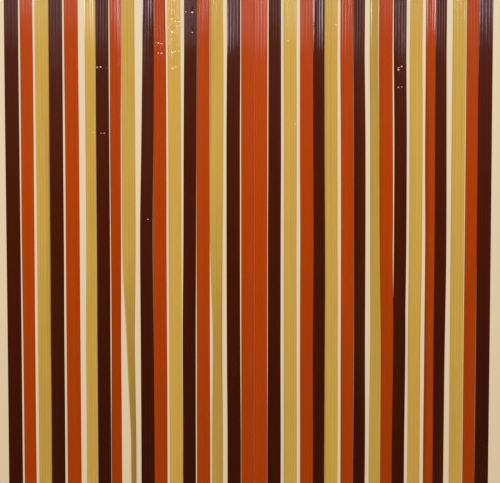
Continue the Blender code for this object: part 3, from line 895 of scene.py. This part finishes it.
def screw_place(node, kind):
    """Where a screw's head is and which way it faces, from its node's box."""
    lo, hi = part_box(node)
    middle = (lo + hi) / 2
    if kind == "cap_screw":
        left = middle.x < 0
        face = Vector((lo.x if left else hi.x, middle.y, middle.z))
        return Matrix.Translation(face) @ Matrix.Rotation(math.pi / 2 * (-1 if left else 1), 4, "Y")
    if kind == "clip_screw":
        return Matrix.Translation((middle.x, middle.y, lo.z)) @ Matrix.Rotation(math.pi, 4, "X")
    return Matrix.Translation((middle.x, middle.y, hi.z))


def screws(look):
    for kind, screw in SCREWS.items():
        mesh = screw_mesh(kind, screw, look)
        for number, node in enumerate(sorted(n for n in frame["nodes"] if n.startswith(kind))):
            spun = Matrix.Rotation(seeded(number).uniform(0, math.tau), 4, "Z")
            stand_for(new_object(node + "_threaded", mesh, look, screw_place(node, kind) @ spun), node)


def head_pieces(looks):
    softened("head_rail", "head_rail_extrusion", looks["anodised_aluminium"], RAIL_EDGE)
    for side in ("left", "right"):
        node = f"end_cap_{side}"
        softened(node, node + "_moulding", looks["moulded_nylon"], CAP_EDGE, FINE_SEGMENTS)
    for number in (1, 2):
        node = f"rod_support_{number}"
        softened(node, node + "_moulding", looks["moulded_nylon"], SUPPORT_EDGE)
    for number in (1, 2, 3):
        node = f"top_clip_{number}"
        softened(node, node + "_moulding", looks["moulded_nylon"], CLIP_EDGE, FINE_SEGMENTS)
    hanging_rod(looks["zinc_plated_steel"])
    screws(looks["zinc_plated_steel"])


def pale_floor():
    work = bmesh.new()
    bmesh.ops.create_circle(work, cap_ends=True, radius=FLOOR_RADIUS, segments=FLOOR_SIDES)
    mesh = bpy.data.meshes.new("floor")
    work.to_mesh(mesh)
    work.free()
    n = Look("floor_look")
    place = n.new("ShaderNodeTexCoord").outputs["Object"]
    grain = n.noise(place, (3, 3, 3), 4.0)
    n.feed(n.shader.inputs["Base Color"], n.mix(grain, (0.66, 0.59, 0.49), (0.72, 0.65, 0.55)))
    n.shader.inputs["Roughness"].default_value = 0.8
    n.shader.inputs["Specular IOR Level"].default_value = 0.0
    far = n.new("ShaderNodeVectorMath")
    far.operation = "LENGTH"
    n.feed(far.inputs[0], place)
    start, end = (FLOOR_RADIUS * share for share in FLOOR_FADE)
    n.feed(n.shader.inputs["Alpha"], n.ramp(far.outputs["Value"], start, end, 1.0, 0.0))
    item = new_object("floor", mesh, n.material, Matrix.Translation((0, 0, FLOOR_Z)))


def area_light(name, place, aim, size, power, colour):
    data = bpy.data.lights.new(name, "AREA")
    data.shape = "RECTANGLE"
    data.size, data.size_y = size
    data.energy = power
    data.color = colour
    item = bpy.data.objects.new(name, data)
    bpy.context.scene.collection.objects.link(item)
    way = Vector(aim) - Vector(place)
    item.matrix_world = Matrix.Translation(place) @ way.to_track_quat("-Z", "Y").to_matrix().to_4x4()
    item.visible_glossy = False


def surroundings():
    """The pale wall that shows between the ribbons, and the dim room that their gloss mirrors."""
    world = bpy.data.worlds.new("room")
    bpy.context.scene.world = world
    world.use_nodes = True
    world.node_tree.nodes.clear()
    n = Nodes(world.node_tree)
    output = n.new("ShaderNodeOutputWorld")
    path = n.new("ShaderNodeLightPath")
    way = n.new("ShaderNodeSeparateXYZ")
    n.feed(way.inputs[0], n.new("ShaderNodeTexCoord").outputs["Generated"])
    side, back, up = way.outputs

    def light(colour, strength):
        node = n.new("ShaderNodeBackground")
        node.inputs["Color"].default_value = (*colour, 1.0)
        n.feed(node.inputs["Strength"], strength)
        return node.outputs[0]

    def blend(share, low, high):
        node = n.new("ShaderNodeMixShader")
        for socket, value in zip(node.inputs, (share, low, high)):
            n.feed(socket, value)
        return node.outputs[0]

    def both(one, other):
        node = n.new("ShaderNodeAddShader")
        n.feed(node.inputs[0], one)
        n.feed(node.inputs[1], other)
        return node.outputs[0]

    # Painted shade: the wall darkens from its top to its bottom.
    drop = n.new("ShaderNodeMapRange")
    n.feed(drop.inputs["Value"], up)
    drop.inputs["From Min"].default_value = WALL_FROM
    drop.inputs["From Max"].default_value = WALL_TO
    wall = blend(drop.outputs["Result"], light(WALL_HIGH, 1.0), light(WALL_LOW, 1.0))

    panes = 0.0
    for middle, half, brightness in PANES:
        off = n.math("ABSOLUTE", n.math("SUBTRACT", side, middle))
        panes = n.math("ADD", n.ramp(off, half * PANE_EVEN, half, brightness, 0.0), panes)
    within = n.math("MULTIPLY", n.ramp(up, *BRIGHT_TOP, 1.0, 0.0), n.ramp(back, *BRIGHT_BACK, 1.0, 0.0))
    panes = n.math("MULTIPLY", panes, n.math("MULTIPLY", within, n.ramp(up, *PANE_FOOT)))
    ceiling = n.math("ADD", n.ramp(up, *GLOW, ROOM_DARK, ROOM_GLOW), n.ramp(up, *CEILING, 0.0, CEILING_LIGHT))
    ceiling = n.math("ADD", ceiling, n.ramp(up, *HAZE, 0.0, HAZE_LIGHT))
    mirrored = both(light(CEILING_COLOUR, ceiling), light(PANE_COLOUR, panes))
    lamp = n.math("MULTIPLY", within, n.ramp(up, *LAMP, 0.0, LAMP_LIGHT))
    mirrored = both(mirrored, light(LAMP_COLOUR, lamp))
    seen = blend(path.outputs["Is Glossy Ray"], light(ROOM_COLOUR, ROOM_FILL), mirrored)
    n.feed(output.inputs["Surface"], blend(path.outputs["Is Camera Ray"], seen, wall))


def camera():
    data = bpy.data.cameras.new("camera")
    data.sensor_width = SENSOR
    data.lens = FOCAL_PIXELS / PHOTO_WIDTH * SENSOR
    data.clip_end = CLIP_END
    item = bpy.data.objects.new("camera", data)
    bpy.context.scene.collection.objects.link(item)
    pitch = math.radians(CAMERA_PITCH)
    place = (CAMERA_X, -CAMERA_DISTANCE, MIDDLE_Z + CAMERA_DISTANCE * math.tan(pitch))
    item.matrix_world = Matrix.Translation(place) @ Matrix.Rotation(math.pi / 2 - pitch, 4, "X")
    bpy.context.scene.camera = item


def main():
    bpy.context.scene.view_settings.view_transform = "Standard"
    looks = {slot: pvc(slot) for slot in PVC}
    looks["anodised_aluminium"] = aluminium()
    looks["zinc_plated_steel"] = zinc()
    looks["moulded_nylon"] = nylon()
    ribbons(looks)
    head_pieces(looks)
    pale_floor()
    surroundings()
    for settings in LIGHTS:
        area_light(*settings)
    camera()


main()
